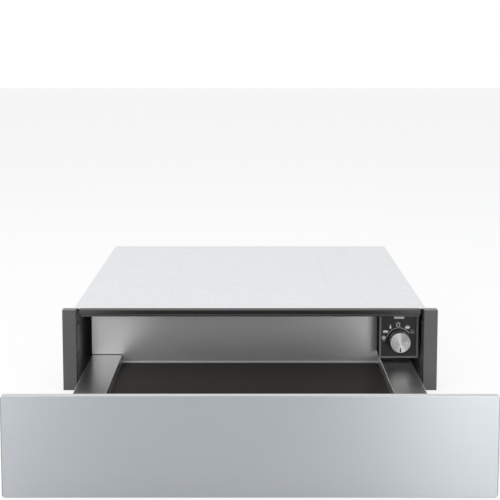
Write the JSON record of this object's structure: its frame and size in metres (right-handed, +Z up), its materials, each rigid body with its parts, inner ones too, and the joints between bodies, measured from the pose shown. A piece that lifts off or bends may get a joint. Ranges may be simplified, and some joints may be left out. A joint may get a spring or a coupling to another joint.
{
  "type": "built-in warming drawer",
  "caption": "Built-in warming drawer pulled open: steel front, black glass tray floor between satin ledges, rotary control with pilot lamp on the carcass.",
  "frame": {"origin": "middle of the carcass's underside, in the plane of the cabinet's front face that the front frame bears on", "axes": "+X to the user's right, +Y into the cabinet, +Z up; the drawer opens along -Y and is stored open"},
  "size_m": [0.597, 0.9305, 0.1288],
  "materials": {
    "carcass_steel": "hot-dip zinc coated sheet",
    "frame_paint": "dark satin",
    "front_steel": "satin brushed",
    "inner_steel": "satin",
    "runner_zinc": "bright zinc plated",
    "black_glass": "satin black toughened glass",
    "black_rubber": "matte",
    "spreader_aluminium": "mill",
    "heater_metal": "oxidised",
    "insulation": "felted glass fibre",
    "black_plastic": "fine grained",
    "white_plastic": "plain",
    "lamp_lens": "translucent",
    "knob_metal": "spun face, satin side",
    "spindle_metal": "plain"
  },
  "bodies": {
    "carcass": {"base_plate": "carcass_steel", "cable_gland": "black_rubber", "control_bezel": "black_plastic", "control_box_housing": "black_plastic", "control_faceplate": "black_plastic", "door_switch_body": "black_plastic", "front_top_rail": "frame_paint", "left_front_upright": "frame_paint", "left_outer_runner": "runner_zinc", "left_runner_support": "carcass_steel", "left_side_panel": "carcass_steel", "pilot_lamp_lens": "lamp_lens", "push_latch_housing": "black_plastic", "rear_panel": "carcass_steel", "right_front_upright": "frame_paint", "right_outer_runner": "runner_zinc", "right_runner_support": "carcass_steel", "right_side_panel": "carcass_steel", "rotary_switch": "black_plastic", "terminal_box": "black_plastic", "top_cover": "carcass_steel"},
    "drawer": {"front_panel": "front_steel", "front_insulation": "insulation", "front_backing_plate": "inner_steel", "inner_front": "inner_steel", "front_bumpers": "black_rubber", "left_front_bracket": "carcass_steel", "right_front_bracket": "carcass_steel", "drawer_pan": "carcass_steel", "left_ledge_cover": "inner_steel", "right_ledge_cover": "inner_steel", "tray_rear_wall": "inner_steel", "glass_plate": "black_glass", "glass_seal": "black_rubber", "heat_spreader": "spreader_aluminium", "heating_element": "heater_metal", "tray_insulation": "insulation", "thermal_cutout": "spindle_metal", "left_inner_runner": "runner_zinc", "right_inner_runner": "runner_zinc"},
    "left_middle_runner": {"left_middle_runner": "runner_zinc"},
    "right_middle_runner": {"right_middle_runner": "runner_zinc"},
    "knob": {"knob_cap": "knob_metal", "knob_skirt": "black_plastic", "knob_pointer": "black_plastic", "knob_spindle": "spindle_metal"},
    "latch_plunger": {"latch_plunger": "white_plastic"},
    "door_switch_button": {"door_switch_button": "white_plastic"}
  },
  "joints": [
    {"name": "drawer_slide", "type": "slide", "parent": "carcass", "child": "drawer", "axis": [0, -1, 0], "range_m": [-0.39, 0]},
    {"name": "left_runner_slide", "type": "slide", "parent": "carcass", "child": "left_middle_runner", "axis": [0, -1, 0], "range_m": [-0.195, 0]},
    {"name": "right_runner_slide", "type": "slide", "parent": "carcass", "child": "right_middle_runner", "axis": [0, -1, 0], "range_m": [-0.195, 0]},
    {"name": "knob_turn", "type": "hinge", "parent": "carcass", "child": "knob", "pos_m": [0.2385, 0, 0.0735], "axis": [0, 1, 0], "range_deg": [0, 241]},
    {"name": "latch_press", "type": "slide", "parent": "carcass", "child": "latch_plunger", "axis": [0, 1, 0], "range_m": [0, 0.01], "stiffness_N_per_m": 400},
    {"name": "switch_press", "type": "slide", "parent": "carcass", "child": "door_switch_button", "axis": [0, 1, 0], "range_m": [0, 0.003], "stiffness_N_per_m": 300}
  ],
  "couplings": [
    {"joint": "left_runner_slide", "follows": "drawer_slide", "ratio": 0.5},
    {"joint": "right_runner_slide", "follows": "drawer_slide", "ratio": 0.5}
  ]
}
